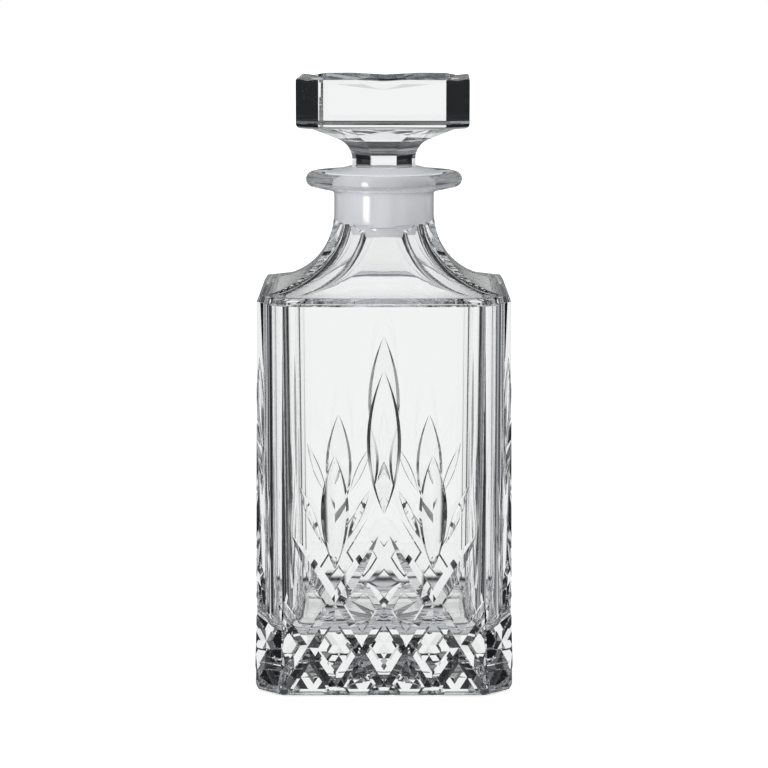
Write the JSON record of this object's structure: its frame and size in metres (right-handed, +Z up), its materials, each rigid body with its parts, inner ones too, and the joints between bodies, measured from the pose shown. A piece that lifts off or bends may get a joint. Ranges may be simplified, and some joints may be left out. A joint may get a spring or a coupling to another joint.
{
  "type": "decanter",
  "caption": "Square decanter of clear cut glass with bevelled corners, a coved shoulder and a lipped neck, closed by a square glass stopper in a plastic seal.",
  "frame": {"origin": "middle of the base, on the surface the decanter stands on", "axes": "+Z up through the neck and stopper, -Y out of the front face, +X to the right of the front face"},
  "size_m": [0.0942, 0.0942, 0.2221],
  "materials": {
    "bottle_glass": "polished",
    "stopper_glass": "polished",
    "seal_plastic": "satin"
  },
  "bodies": {
    "bottle": {"decanter_bottle": "bottle_glass"},
    "seal": {"stopper_seal": "seal_plastic"},
    "stopper": {"glass_stopper": "stopper_glass"}
  },
  "joints": [
    {"name": "stopper_lift", "type": "slide", "parent": "bottle", "child": "seal", "axis": [0, 0, 1], "range_m": [0, 0.06]},
    {"name": "stopper_turn", "type": "hinge", "parent": "seal", "child": "stopper", "pos_m": [0, 0, 0.1889], "axis": [0, 0, 1], "continuous": true}
  ]
}
